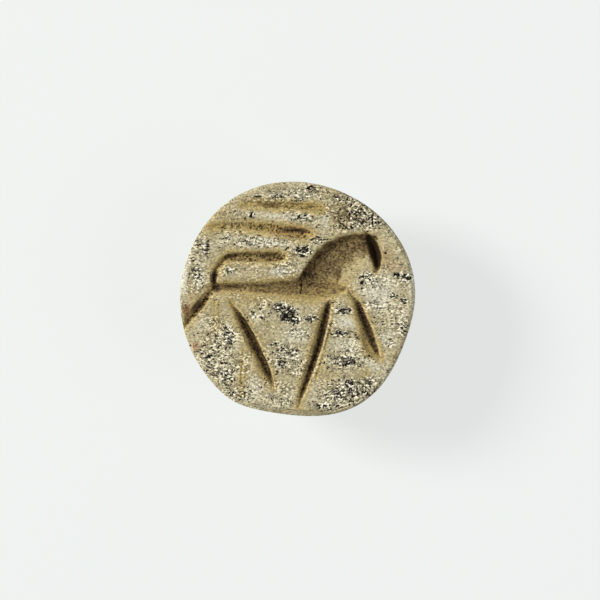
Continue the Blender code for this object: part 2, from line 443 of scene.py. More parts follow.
OUTER_HIND_LEG = (
    (-7.02, 1.05, 0.30), (-7.66, 0.28, 0.42), (-8.20, -0.39, 0.42), (-8.78, -1.14, 0.38),
    (-9.23, -1.79, 0.30), (-9.68, -2.44, 0.20),
)
MIDDLE_LEG = (
    (2.72, -0.05, 0.16), (2.51, -0.70, 0.37), (2.17, -2.00, 0.45), (1.76, -3.70, 0.46),
    (1.28, -5.20, 0.43), (0.76, -6.70, 0.35), (0.33, -8.10, 0.26), (0.12, -8.95, 0.10),
)
FRONT_LEG = (
    (4.05, 1.15, 0.08), (4.45, 0.55, 0.15), (4.86, -0.05, 0.23), (5.17, -0.70, 0.41),
    (5.58, -1.80, 0.49), (5.98, -2.80, 0.48), (6.36, -3.80, 0.43), (6.70, -4.50, 0.28),
    (7.00, -5.05, 0.10),
)
FRONT_HOOF = (
    (5.40, -2.00, 0.12), (5.70, -2.90, 0.36), (6.10, -3.68, 0.54), (6.55, -4.38, 0.48),
    (6.98, -5.00, 0.16),
)

# %% How each stroke has worn, and what has stayed in it
# soft: how far its lips are rounded. earth and ochre: how much of each is in it; the
# earth also paints the shade in the cut. sides: the share of the depth where earth
# and painted shade begin, left and right of the way cut; it is lower on the wall that
# lies in shade. ticks: how strongly the tool chattered and how patchy the earth is.
# lips: how bright each lip is, right and left of the way cut: worn stone, with a
# painted highlight that is strongest on the lip that faces the key light.
STROKES = {
    "body": dict(way=BODY, tool=GOUGE, soft=0.15, earth=0.50, sides=(0.0, 0.35),
                 ochre=0.9, ticks=0.35, lips=(0.4, 0.1)),
    "neck": dict(way=NECK, tool=NECK_GOUGE, soft=0.18, earth=0.66, sides=(0.0, 0.30),
                 ochre=0.5, ticks=0.30, lips=(0.0, 0.0)),
    "head": dict(way=HEAD, tool=HEAD_GRAVER, soft=0.12, earth=1.00, sides=(0.15, 0.10),
                 ochre=0.6, ticks=0.0, lips=(0.0, 0.3)),
    "tail": dict(way=TAIL, tool=FINE_GRAVER, soft=0.07, earth=0.55, sides=(0.10, 0.25),
                 ochre=0.9, ticks=0.6, lips=(0.9, 0.3)),
    "hind_leg": dict(way=HIND_LEG, tool=GRAVER, soft=0.06, earth=1.0, sides=(0.12, 0.32),
                     ochre=0.9, ticks=0.25, lips=(0.5, 1.0)),
    "outer_hind_leg": dict(way=OUTER_HIND_LEG, tool=GRAVER, soft=0.08, earth=0.75,
                           sides=(0.2, 0.45), ochre=0.8, ticks=0.55, lips=(0.5, 0.6)),
    "middle_leg": dict(way=MIDDLE_LEG, tool=GRAVER, soft=0.06, earth=1.0,
                       sides=(0.12, 0.32), ochre=0.9, ticks=0.25, lips=(0.5, 1.0)),
    "front_leg": dict(way=FRONT_LEG, tool=GRAVER, soft=0.06, earth=1.0,
                      sides=(0.12, 0.30), ochre=0.9, ticks=0.25, lips=(0.4, 0.9)),
    "front_hoof": dict(way=FRONT_HOOF, tool=FLAT_GRAVER, soft=0.07, earth=0.35,
                       sides=(0.5, 0.5), ochre=1.0, ticks=0.4, lips=(0.5, 0.0)),
    "top_stroke": dict(way=TOP_STROKE, tool=FLAT_GRAVER, soft=0.09, earth=0.34,
                       sides=(0.1, 0.3), ochre=1.0, ticks=0.9, lips=(0.3, 0.3)),
    "second_stroke": dict(way=SECOND_STROKE, tool=FLAT_GRAVER, soft=0.08, earth=0.42,
                          sides=(0.05, 0.3), ochre=1.0, ticks=0.95, lips=(0.6, 0.5)),
}

# %% [markdown]
# Every stroke is laid over the places of the face with numpy: the nearest point of
# its way gives the distance across, the half-width and the run. Its section gives
# the depth there, with a soft rule at the lips in place of a corner. The cuts and
# the worn rim are joined by the root of a sum of powers, which is close to the
# deepest of them and leaves every crossing rounded.

# %% Lay a stroke over places of the face
SPAN_STEPS = 6            # pieces between two points of a stroke


def smooth_path(points):
    """Points along a smooth line through the given ones, by Catmull and Rom's rule."""
    knots = np.array(points)
    padded = np.vstack([knots[:1], knots, knots[-1:]])
    path = []
    for before, start, end, after in zip(padded, padded[1:], padded[2:], padded[3:]):
        for t in np.arange(SPAN_STEPS) / SPAN_STEPS:
            path.append(0.5 * (
                2 * start + (end - before) * t
                + (2 * before - 5 * start + 4 * end - after) * t ** 2
                + (3 * start - before - 3 * end + after) * t ** 3
            ))
    return np.array(path + [knots[-1]])


def lay(path, x, y):
    """The signed distance to the right of a path, and its half-width and run there."""
    nearest = np.full(x.shape, 1e9)
    across = np.zeros_like(x)
    width = np.ones_like(x)
    run = np.zeros_like(x)
    done = 0.0
    for start, end in zip(path, path[1:]):
        dx, dy, dw = end - start
        step = hypot(dx, dy)
        t = np.clip(((x - start[0]) * dx + (y - start[1]) * dy) / step ** 2, 0, 1)
        px = x - start[0] - t * dx
        py = y - start[1] - t * dy
        away = np.hypot(px, py)
        near = away < nearest
        nearest[near] = away[near]
        across[near] = np.where(px * dy - py * dx >= 0, away, -away)[near]
        width[near] = (start[2] + dw * t)[near]
        run[near] = (done + t * step)[near]
        done += step
    return across, width, run


def smooth_rise(value, low, high):
    """0 below low, 1 above high and a smooth rise between, for numbers or arrays."""
    share = np.clip((value - low) / (high - low), 0, 1)
    return share * share * (3 - 2 * share)


def noise_at(x, y, z, cell_x, cell_y, cell_z, seed):
    """Smooth noise from about -1 to 1 at places in millimetres, for cells of a size."""
    places = np.column_stack([x / cell_x + seed, y / cell_y, z / cell_z])
    return np.array([noise.noise(place) for place in places.tolist()])


# %% The places of the whole surface, in millimetres
count = len(stone_mesh.vertices)
places = np.empty(count * 3)
stone_mesh.vertices.foreach_get("co", places)
places = places.reshape(-1, 3)
normals = np.empty(count * 3)
stone_mesh.vertices.foreach_get("normal", normals)
normals = normals.reshape(-1, 3)
start_x, start_y, start_z = places.T.copy()
face_share = smooth_rise(start_z, FACE_Z - 3.5 * RIM_DROP, FACE_Z - 1.0 * RIM_DROP)
on_face = np.flatnonzero(face_share > 0)
print("places on the face and rim:", len(on_face), "of", count)

# %% The hand that cut it wasn't perfectly steady
HAND = 0.05               # how far the edges of a stroke wander
# The rim line below is painted shade along the edge of the rim, with a faint groove.
RIM_SHADE_LINE = 0.27           # a thin dark line lies this far inside the rim
SHADE_LINE_ARCS = (             # and shows here: (direction, spread in degrees, strength)
    (30, 26, 0.80), (-15, 16, 0.45), (-62, 22, 0.70), (-112, 26, 0.75), (150, 16, 0.40),
)
WORN_ARCS = (             # worn parts of the rim: (direction, spread in degrees, width)
    (178, 12, 0.20), (222, 22, 0.42), (272, 20, 0.50), (325, 14, 0.22), (75, 20, 0.25),
)
face_x = start_x[on_face]
face_y = start_y[on_face]
hand_x = face_x + HAND * noise_at(face_x, face_y, 0 * face_x, 0.7, 0.7, 1, 11.0)
hand_y = face_y + HAND * noise_at(face_x, face_y, 0 * face_x, 0.7, 0.7, 1, 47.0)
hand_x += 0.4 * HAND * noise_at(face_x, face_y, 0 * face_x, 0.22, 0.22, 1, 83.0)
hand_y += 0.4 * HAND * noise_at(face_x, face_y, 0 * face_x, 0.22, 0.22, 1, 29.0)

# %% A stretched noise, ranked from 0 to 1, that makes pits and earth patchy
def ranked(values):
    """Values replaced by their rank, evenly spread from 0 to 1."""
    order = np.argsort(values)
    ranks = np.empty(len(values))
    ranks[order] = np.linspace(0, 1, len(values))
    return ranks


level = 0 * face_x
ragged_x = face_x + 0.10 * noise_at(face_x, face_y, level, 0.34, 0.30, 1, 3.0)
ragged_y = face_y + 0.08 * noise_at(face_x, face_y, level, 0.34, 0.30, 1, 61.0)
rank = ranked(
    0.45 * noise_at(ragged_x, ragged_y, level, 0.27, 0.18, 1, 7.0)
    + 0.75 * noise_at(ragged_x, ragged_y, level, 0.14, 0.12, 1, 19.0)
    + 0.25 * noise_at(face_x, face_y, level, 0.80, 0.45, 1, 31.0)
    - 0.35 * np.abs(noise_at(ragged_x, ragged_y, level, 0.40, 0.26, 1, 57.0))
)
print("ranked noise at", len(rank), "places")

# %% Cut the strokes
FULL_WIDTH = 0.42         # the half-width from which a stroke holds all its earth
STROKE_MARGIN = 2.6       # how far from its way a stroke can matter
JOIN = 5                  # the power that joins the cuts


def section(across, width, tool):
    """The share of a tool's depth at some places: 1 on the deepest line, 0 at the lips."""
    depth, left_round, right_round, deepest = tool
    right = across / width > deepest
    reach = np.where(right, 1 - deepest, 1 + deepest)
    share = np.abs(across / width - deepest) / reach
    return 1 - share ** np.where(right, right_round, left_round), right


def raise_field(name, spots, values):
    """Raise a field to some values at some places, and never lower it."""
    surface[name][spots] = np.maximum(surface[name][spots], values)


surface = {name: np.zeros(count) for name in (
    "pit", "speck", "earth", "ochre", "pale", "rust", "worn",
)}
rim_fall = np.maximum(FACE_Z - start_z[on_face], 0)
from_edge = SIDE_RADIUS + outline_swell(face_x, face_y) - np.hypot(face_x, face_y)
rim_turn = np.degrees(np.arctan2(face_y, face_x))
chamfer = 0.10 * noise_at(face_x, face_y, 0 * face_x, 0.8, 0.8, 1, 15.0) - 0.02
chamfer += arcs(rim_turn, WORN_ARCS)
powers = rim_fall ** JOIN + np.maximum(0.75 * (chamfer - from_edge), 0) ** JOIN
for name, stroke in STROKES.items():
    path = smooth_path(stroke["way"])
    low = path.min(axis=0) - STROKE_MARGIN
    high = path.max(axis=0) + STROKE_MARGIN
    near = np.flatnonzero(
        (hand_x > low[0]) & (hand_x < high[0]) & (hand_y > low[1]) & (hand_y < high[1])
    )
    across, width, run = lay(path, hand_x[near], hand_y[near])
    profile, right = section(across, width, stroke["tool"])
    furrows = noise_at(across, run, 0 * run, 0.09, 1.3, 1, 5.0)
    chatter = 0.6 * noise_at(run, across, 0 * run, 0.17, 0.5, 1, 9.0)
    chatter += 0.6 * noise_at(run, across, 0 * run, 0.15, 0.15, 1, 33.0)
    inside = smooth_rise(profile, 0.0, 0.3)
    fall = stroke["tool"][0] * width * profile
    fall += inside * (0.02 * furrows + 0.06 * stroke["ticks"] * chatter)
    fall = stroke["soft"] * np.log1p(np.exp(fall / stroke["soft"]))
    powers[near] += fall ** JOIN
    begins = np.where(right, stroke["sides"][1], stroke["sides"][0])
    uneven = profile + 0.18 * furrows + 0.12 * chatter
    held = stroke["earth"] * smooth_rise(uneven, begins - 0.15, begins + 0.55)
    held *= 0.3 + 0.7 * smooth_rise(width, 0.12, FULL_WIDTH)
    grains = smooth_rise(rank[near] + 0.25 * chatter, 0.45, 0.80)
    held *= 1 + stroke["ticks"] * (2.2 * grains - 1)
    raise_field("earth", on_face[near], np.clip(held, 0, 1))
    outside = np.maximum(np.abs(across) - width, 0)
    raise_field("ochre", on_face[near], stroke["ochre"] * np.exp(-(outside / 0.34) ** 2))
    # The lip: worn stone and a painted highlight, brighter on the side that faces the key
    # light.
    lip_wear_and_highlight = np.exp(-((np.abs(across) - width - 0.02) / 0.10) ** 2)
    lip_wear_and_highlight *= smooth_rise(width, 0.12, 0.24) * np.clip(0.65 + 0.9 * chatter, 0, 1)
    raise_field("worn", on_face[near], lip_wear_and_highlight * np.where(right, *stroke["lips"]))
    print(f"{name}: {fall.max():.2f} mm deep")
fall = powers ** (1 / JOIN)
print(f"deepest cut {fall[rim_fall < 0.01].max():.2f} mm")

# %% [markdown]
# ## Pits, patches and scratches
#
# The stone is pitted all over, and the pits crowd into dark patches with dirt in
# them. They lie in short level rows, as the grinding of the face left them. A noise
# that is stretched along X is ranked, so that its highest share can be made into
# pits: a few hundredths everywhere, and up to two thirds of a patch.

# %% Dark patches: (x, y, half-width, half-height, share of it that is pits)
PATCHES = (
    (-8.40, 2.20, 1.00, 2.00, 0.17), (-6.90, -4.60, 1.90, 3.00, 0.24),
    (-5.20, -8.00, 2.00, 1.00, 0.26), (-3.40, -7.20, 1.00, 1.40, 0.14),
    (-1.30, -8.40, 2.00, 0.80, 0.18), (-3.60, -1.20, 1.40, 0.80, 0.15),
    (0.40, -7.20, 0.90, 1.20, 0.10), (4.00, -5.20, 2.20, 0.90, 0.24),
    (4.40, -7.80, 2.60, 1.20, 0.30), (7.60, -1.60, 1.80, 1.60, 0.12),
    (5.20, 7.40, 2.60, 1.50, 0.28), (0.40, 8.90, 3.20, 0.70, 0.20),
    (-5.20, 7.30, 2.00, 0.70, 0.13), (-3.60, 4.90, 4.20, 0.60, 0.17),
    (-8.20, 4.40, 0.90, 1.40, 0.20), (0.60, 6.80, 1.80, 0.50, 0.20),
    (-0.75, -1.25, 0.80, 0.65, 0.80), (-1.40, -0.70, 0.70, 0.50, 0.60),
    (-0.10, -1.75, 0.55, 0.35, 0.50), (1.20, -1.60, 0.70, 0.40, 0.35),
    (-0.85, -4.80, 1.45, 1.50, 0.26), (-0.35, -4.55, 0.65, 0.45, 0.45),
    (-1.30, -5.35, 0.50, 0.45, 0.45), (-1.90, -3.75, 0.40, 0.25, 0.40),
    (-5.85, -3.10, 0.70, 1.00, 0.42), (-7.35, -4.80, 0.60, 0.45, 0.40),
    (-5.85, -6.35, 0.80, 0.80, 0.36), (-6.90, -6.00, 1.00, 1.00, 0.25),
    (-7.90, -4.40, 0.35, 0.30, 0.35), (-5.40, -7.90, 1.20, 0.50, 0.30),
    (4.15, -5.20, 0.95, 0.50, 0.50), (4.40, -7.10, 0.55, 0.40, 0.55),
    (3.55, -8.00, 1.10, 0.75, 0.40), (4.70, -7.60, 1.10, 0.70, 0.38),
    (6.00, -7.00, 0.80, 0.60, 0.35), (2.60, -8.95, 1.40, 0.35, 0.38),
    (3.95, -0.95, 0.75, 0.35, 0.50), (3.60, -2.90, 0.70, 0.30, 0.50),
    (8.10, 0.30, 0.50, 0.25, 0.40), (9.00, -0.10, 0.30, 0.35, 0.50),
    (8.90, -2.40, 0.45, 0.60, 0.42), (7.90, -3.70, 0.60, 0.35, 0.32),
    (9.10, 1.95, 0.55, 0.45, 0.55), (8.40, 2.10, 0.35, 0.30, 0.40),
    (0.50, 4.10, 0.90, 0.40, 0.50), (1.70, 5.00, 0.70, 0.40, 0.32),
    (0.50, 6.90, 1.00, 0.50, 0.32), (5.40, 7.00, 1.70, 0.90, 0.40),
    (6.50, 6.60, 0.70, 0.60, 0.40), (3.80, 7.00, 0.90, 1.20, 0.30),
    (1.15, 9.40, 0.45, 0.20, 0.55), (-1.80, 8.75, 0.70, 0.35, 0.32),
    (0.20, 8.60, 0.70, 0.40, 0.34), (3.60, 8.60, 1.00, 0.40, 0.32),
    (-7.65, 4.40, 0.30, 0.80, 0.40), (-8.40, 2.20, 0.65, 0.95, 0.32),
    (-5.60, 2.45, 0.70, 0.35, 0.28), (6.00, 1.80, 0.75, 0.65, 0.32),
    (-3.70, -1.35, 0.50, 0.30, 0.36), (-2.90, -1.50, 0.35, 0.30, 0.42),
    (-6.00, 5.20, 0.60, 0.40, 0.28), (-3.90, 7.15, 0.60, 0.30, 0.28),
    (-5.30, 7.30, 0.60, 0.40, 0.24), (-8.90, 3.20, 0.40, 0.50, 0.28),
)

# %% Single dark marks: (x, y, half-length, direction in degrees, half-width, strength)
MARKS = (
    (-3.30, 8.70, 0.25, 0, 0.07, 0.8), (-1.50, 8.62, 0.50, 0, 0.06, 0.8),
    (-5.40, 7.35, 0.20, 20, 0.08, 0.7), (-3.85, 7.15, 0.12, 80, 0.12, 1.0),
    (-5.20, 6.80, 0.20, 10, 0.07, 0.7), (-1.95, 7.90, 0.22, 30, 0.08, 0.7),
    (-6.00, 5.25, 0.16, 60, 0.12, 1.0), (-3.40, 5.10, 0.25, 85, 0.07, 0.7),
    (-7.60, 4.10, 0.30, 75, 0.10, 1.0), (-7.50, 4.90, 0.25, 60, 0.07, 0.8),
    (-6.60, 4.35, 0.15, 20, 0.08, 0.7), (-8.70, 3.35, 0.20, 60, 0.07, 0.8),
    (-9.10, 2.00, 0.20, 70, 0.08, 0.8), (-0.85, 4.30, 0.12, 40, 0.10, 1.0),
    (-0.50, 3.95, 0.12, 120, 0.09, 1.0), (0.90, 6.85, 0.80, 3, 0.05, 0.7),
    (1.75, 6.25, 0.18, 40, 0.09, 0.9), (1.40, 5.15, 0.35, 25, 0.07, 0.9),
    (2.40, 5.05, 0.20, 10, 0.07, 0.9), (0.55, 4.38, 0.50, 20, 0.10, 1.0),
    (0.30, 3.70, 0.30, -12, 0.12, 1.0), (5.30, 7.30, 0.30, 15, 0.10, 0.9),
    (6.10, 7.00, 0.25, -10, 0.09, 0.9), (6.65, 6.50, 0.28, 5, 0.11, 1.0),
    (5.50, 6.40, 0.20, 0, 0.10, 0.9), (4.60, 6.10, 0.20, -20, 0.09, 0.9),
    (3.80, 5.95, 0.25, 10, 0.08, 0.8), (5.60, 1.65, 0.28, 60, 0.10, 1.0),
    (5.45, 0.90, 0.12, 80, 0.09, 0.8), (8.60, 2.00, 0.20, 70, 0.10, 0.9),
    (9.42, 1.85, 0.28, 60, 0.12, 1.0), (8.12, 0.28, 0.38, 8, 0.06, 0.9),
    (9.05, -0.10, 0.16, 70, 0.14, 1.0), (1.20, -1.45, 0.40, 4, 0.07, 0.9),
    (1.35, -1.85, 0.35, -3, 0.06, 0.9), (3.60, -2.80, 0.72, 10, 0.09, 1.0),
    (4.75, -2.80, 0.30, -30, 0.07, 0.9), (5.10, -3.15, 0.22, -50, 0.10, 0.9),
    (3.40, -5.35, 0.25, 10, 0.09, 0.9), (3.70, -5.60, 0.22, -5, 0.09, 0.9),
    (4.40, -5.35, 0.30, 12, 0.12, 1.0), (4.10, -4.95, 0.35, 0, 0.06, 0.8),
    (5.90, -4.80, 0.22, 15, 0.09, 0.9), (4.40, -7.00, 0.22, -10, 0.16, 1.0),
    (3.00, -7.50, 0.30, 10, 0.09, 0.9), (3.90, -7.70, 0.35, 5, 0.08, 0.9),
    (5.60, -7.80, 0.30, 30, 0.09, 0.9), (4.80, -8.15, 0.32, 20, 0.09, 0.9),
    (2.80, -8.30, 0.30, 0, 0.08, 0.9), (1.40, -8.55, 0.20, -5, 0.07, 0.8),
    (2.60, -8.90, 0.30, 8, 0.08, 0.9), (1.80, -9.25, 0.25, 0, 0.06, 0.8),
    (-5.90, -4.10, 0.16, 50, 0.14, 1.0), (-7.35, -4.85, 0.28, 50, 0.10, 1.0),
    (-6.00, -7.10, 0.22, -30, 0.08, 0.9), (-5.50, -7.80, 0.22, -35, 0.09, 0.9),
    (-5.00, -8.30, 0.25, -35, 0.08, 0.9), (-2.90, -1.60, 0.20, -60, 0.10, 1.0),
    (-1.90, -3.75, 0.28, 10, 0.08, 0.9), (-1.65, -6.15, 0.14, 60, 0.09, 0.9),
    (7.20, -2.05, 0.12, 60, 0.07, 0.8), (7.90, -3.75, 0.30, 10, 0.06, 0.8),
    (8.95, -2.60, 0.35, -60, 0.09, 0.9), (-0.60, -1.20, 0.45, -20, 0.16, 1.0),
    (-0.95, -0.70, 0.40, 8, 0.09, 1.0), (-0.15, -1.75, 0.28, 10, 0.10, 1.0),
    (3.90, -0.90, 0.42, 6, 0.09, 1.0), (4.25, -1.15, 0.20, -8, 0.07, 0.9),
)

# %% Thin cuts, cracks and painted shade lines: (way, depth, dark, ochre)
THIN_CUTS_AND_SHADE_LINES = (
    (((2.95, -1.80, 0.06), (2.62, -3.00, 0.08), (2.30, -4.20, 0.06)), 0.06, 0.5, 0.8),
    (((2.25, -4.60, 0.05), (1.95, -5.60, 0.07), (1.55, -6.90, 0.05)), 0.05, 0.2, 0.9),
    (((-3.60, -3.30, 0.05), (-3.30, -3.80, 0.07), (-3.00, -4.30, 0.05)), 0.06, 0.8, 0.4),
    (((-4.60, -1.00, 0.05), (-3.90, -2.10, 0.07), (-3.50, -2.80, 0.05)), 0.04, 0.4, 0.5),
    (((0.33, 1.40, 0.04), (0.36, 1.00, 0.06), (0.30, 0.55, 0.04)), 0.10, 1.0, 0.0),
    (((-6.92, 0.00, 0.05), (-6.95, -1.50, 0.07), (-6.85, -3.10, 0.05)), 0.05, 0.1, 0.9),
    (((-6.62, -0.20, 0.05), (-6.58, -1.60, 0.07), (-6.55, -2.60, 0.05)), 0.05, 0.1, 0.8),
    (((-4.52, -4.20, 0.06), (-4.66, -6.20, 0.10), (-4.73, -8.00, 0.12)), 0.06, 0.1, 1.0),
    (((5.90, -5.70, 0.06), (5.92, -6.10, 0.08), (5.88, -6.60, 0.06)), 0.03, 0.0, 0.8),
    (((5.10, -3.20, 0.05), (5.80, -3.95, 0.07), (7.00, -5.05, 0.05)), 0.03, 0.1, 0.7),
    (((-2.50, 1.95, 0.05), (-1.00, 2.00, 0.07), (-0.20, 2.20, 0.05)), 0.04, 0.1, 0.5),
    # The next three are painted shade lines with a faint groove: along the neck's shaded
    # upper-left edge, at its upper edge and in its valley.
    (((0.20, 1.50, 0.06), (0.42, 2.05, 0.15), (0.75, 2.60, 0.10)), 0.05, 1.0, 0.0),
    (((2.40, 4.25, 0.06), (2.70, 4.45, 0.14), (3.00, 4.60, 0.06)), 0.02, 0.7, 0.0),
    (((3.40, 1.50, 0.08), (3.44, 2.10, 0.20), (3.66, 2.80, 0.08)), 0.04, 0.70, 0.0),
    (((-4.40, 8.45, 0.05), (-2.50, 8.50, 0.06), (-0.80, 8.42, 0.05)), 0.03, 0.3, 0.2),
)

# %% Stains, and painted light and shade: (x, y, half-width, half-height, strength)
OCHRE_STAINS = (
    (-6.30, 7.30, 1.30, 0.70, 0.60), (-3.50, -0.30, 1.80, 0.45, 0.55),
    (8.40, -1.00, 0.80, 0.90, 0.40), (-4.70, -7.60, 0.45, 0.70, 0.70),
    (3.80, 7.00, 1.10, 1.50, 0.75), (5.20, 7.10, 1.40, 0.90, 0.45),
    (-9.00, 0.40, 0.60, 1.60, 0.40), (-6.80, -1.50, 0.60, 1.80, 0.45),
    (2.60, -6.50, 0.80, 1.20, 0.45), (-7.60, -3.60, 1.00, 1.20, 0.40),
    (-4.30, -5.60, 0.70, 1.60, 0.35), (2.80, 8.90, 1.50, 0.50, 0.40),
    (7.60, 3.60, 0.60, 1.20, 0.40), (-3.60, 2.00, 1.80, 0.50, 0.25),
    (-2.00, -2.80, 1.40, 0.90, 0.30), (0.60, 2.00, 0.90, 0.40, 0.45),
    (5.60, -6.00, 0.80, 0.80, 0.35), (7.90, -5.00, 0.60, 0.80, 0.25),
    (-3.00, 0.15, 3.20, 0.35, 0.85), (1.50, -0.25, 1.80, 0.28, 0.80),
    (-4.80, 6.80, 2.40, 0.25, 0.50), (-7.60, 5.90, 0.70, 0.60, 0.60),
)
PALE_AND_LIT_AREAS = (
    (6.90, 0.60, 1.30, 1.50, 0.80), (4.20, -1.90, 0.90, 0.55, 0.90),
    (6.50, -5.40, 1.00, 0.60, 0.80), (-1.60, 2.30, 0.80, 0.40, 1.00),
    (-0.40, -3.00, 1.30, 0.80, 0.55), (-2.60, 4.80, 2.40, 0.50, 0.60),
    (-1.00, 7.10, 2.60, 0.35, 0.70), (7.60, -3.20, 0.80, 0.80, 0.50),
    (4.00, -3.90, 1.10, 0.60, 0.50), (-3.60, -7.40, 0.80, 0.90, 0.45),
    (-8.10, -2.60, 0.50, 0.90, 0.40), (2.40, 6.90, 0.40, 0.90, 0.70),
    (-7.90, 1.60, 0.60, 0.70, 0.45), (1.00, -7.80, 1.40, 0.80, 0.30),
    (5.20, 2.20, 0.60, 0.90, 0.30), (-0.80, 8.50, 2.40, 0.50, 0.40),
    # painted light: the first entry below is the left of the rim, lit by the key light
    (-9.50, 1.60, 0.35, 1.60, 1.00), (9.75, 2.40, 0.30, 3.20, 0.90),
    (8.60, -0.90, 0.90, 0.90, 0.60), (-9.20, 4.00, 0.40, 1.40, 0.60),
    (7.80, -6.20, 0.80, 0.80, 0.50), (-3.00, -9.20, 1.60, 0.40, 0.45),
)
# Earth in the cuts. The entries on the upper wall of the body, along the upper-left wall of the
# neck, in its valley and at the left side of the head paint the shade on those walls.
EARTH_AND_SHADE_IN_CUTS = (
    (-0.30, 5.85, 1.30, 0.20, 0.95), (-6.95, 1.75, 0.28, 0.85, 1.10),
    (-6.85, 1.00, 0.45, 0.35, 0.95), (-5.50, 1.12, 1.40, 0.20, 0.85),
    (-3.20, 1.18, 1.20, 0.16, 0.70), (3.45, 2.30, 0.35, 0.60, 0.75),
    (-2.30, 3.75, 0.90, 0.20, 0.80), (-5.60, 3.70, 0.80, 0.25, 0.80),
    (-2.20, 7.95, 1.10, 0.25, 0.60), (-8.30, -0.60, 0.80, 0.70, 0.80),
    (5.75, 4.60, 0.60, 0.90, 0.80), (1.05, 2.60, 0.40, 0.90, 0.75),
    (1.80, 3.70, 0.60, 0.60, 0.70), (2.90, 4.60, 0.80, 0.45, 0.72),
    (4.30, 5.10, 1.00, 0.35, 0.70), (0.62, 2.20, 0.32, 0.60, 0.98),
    (5.40, 3.80, 0.70, 0.40, 0.40),
)
# Earth on the ground, and painted shade on the bottom of the rim.
EARTH_AND_SHADE_ON_GROUND = (
    (3.80, 7.00, 1.00, 1.50, 0.36), (5.40, 7.20, 1.70, 0.90, 0.27),
    (-9.40, -1.20, 0.50, 1.00, 0.38), (7.40, 4.30, 0.80, 1.20, 0.15),
    (1.15, 9.40, 0.60, 0.25, 0.40), (5.00, -8.10, 1.80, 0.60, 0.22),
    (-6.30, -7.20, 1.40, 0.80, 0.16), (-0.90, -1.10, 0.90, 0.70, 0.30),
    (0.40, 0.30, 1.40, 0.30, 0.20), (-5.20, 0.20, 1.60, 0.30, 0.16),
    (-8.60, 5.40, 0.80, 0.80, 0.12), (3.20, 8.90, 1.40, 0.50, 0.20),
    # painted shade on the bottom of the rim, which faces away from the light:
    (2.60, -9.60, 2.20, 0.25, 0.26), (-2.60, -9.40, 2.20, 0.30, 0.20),
    (-9.60, -0.40, 0.25, 0.90, 0.40), (0.20, 1.90, 0.40, 0.30, 0.25),
)
RUST_STAINS = (
    (-9.30, -0.80, 0.32, 0.42, 1.00), (-8.60, -3.90, 0.26, 0.38, 0.80),
    (8.20, 2.90, 0.60, 0.45, 0.35), (-0.60, 5.80, 1.60, 0.40, 0.55),
    (-8.90, 0.30, 0.22, 0.30, 0.30), (2.00, 1.15, 0.90, 0.14, 0.50),
    (7.60, 3.60, 0.50, 0.90, 0.22),
)


def stain(x, y, marks):
    """The strongest of some soft-edged round stains at each place."""
    total = np.zeros_like(x)
    for mark_x, mark_y, half_x, half_y, strength in marks:
        away = ((x - mark_x) / half_x) ** 2 + ((y - mark_y) / half_y) ** 2
        total = np.maximum(total, strength * np.exp(-away ** 1.4))
    return total


# %% Press in the thin cuts, the painted shade lines and the single marks
thin_fall = np.zeros(len(on_face))
dark = np.zeros(len(on_face))
for way, depth, darkness, ochre in THIN_CUTS_AND_SHADE_LINES:
    across, width, run = lay(smooth_path(way), hand_x, hand_y)
    groove = smooth_rise(np.abs(across) / width, 1.7, 0.3)
    thin_fall = np.maximum(thin_fall, depth * groove)
    raise_field("earth", on_face, darkness * groove * (0.6 + 0.6 * rank))
    halo = ochre * smooth_rise(np.abs(across) / width, 4.0, 0.5)
    raise_field("ochre", on_face, halo)
for x, y, half_length, direction, half_width, strength in MARKS:
    dx = half_length * cos(radians(direction))
    dy = half_length * sin(radians(direction))
    ends = np.array([(x - dx, y - dy, half_width), (x + dx, y + dy, half_width)])
    across, width, run = lay(ends, ragged_x, ragged_y)
    dark = np.maximum(dark, strength * smooth_rise(np.abs(across) / width, 1.5, 0.5))
# Painted shade along the rim's edge, pressed in a little:
line = np.exp(-((from_edge - RIM_SHADE_LINE - 0.4 * chamfer) / 0.055) ** 2)
line *= arcs(rim_turn, SHADE_LINE_ARCS) * (0.4 + 0.8 * rank)
thin_fall = np.maximum(thin_fall, 0.03 * line)
raise_field("earth", on_face, 0.60 * line)
print("thin cuts", len(THIN_CUTS_AND_SHADE_LINES), "and dark marks", len(MARKS))

# %% Take the highest share of the ranked noise for pits
EVERYWHERE = 0.055        # the share of plain ground that is pits
PIT_DEPTH = 0.055


crowd = stain(ragged_x, ragged_y, PATCHES)
in_cut = smooth_rise(fall - rim_fall, 0.04, 0.16)
uneven = 0.75 + 0.5 * rank
# Earth, and painted shade on the shaded walls of the cuts and on the bottom of the rim.
raise_field("earth", on_face, in_cut * uneven * stain(ragged_x, ragged_y, EARTH_AND_SHADE_IN_CUTS))
raise_field("earth", on_face, uneven * stain(ragged_x, ragged_y, EARTH_AND_SHADE_ON_GROUND))
raise_field("earth", on_face, 0.35 * uneven * crowd)
share = np.maximum(EVERYWHERE, 0.85 * crowd) * (1 - 0.85 * in_cut)
pits = smooth_rise(rank, 1.01 - share * 1.25, 1.06 - share)
# Pale rims round the pits: whiter stone, and a painted highlight where the rims catch the
# light.
pit_rims_pale_and_lit = smooth_rise(rank, 1 - share * 2.6, 1 - share * 1.5) * np.minimum(1, 2.5 * crowd)
pits = np.maximum(pits, dark * smooth_rise(rank, 0.10, 0.70) * (1 - 0.6 * in_cut))
print(f"pits cover {np.mean(pits > 0.5):.3f} of the face")

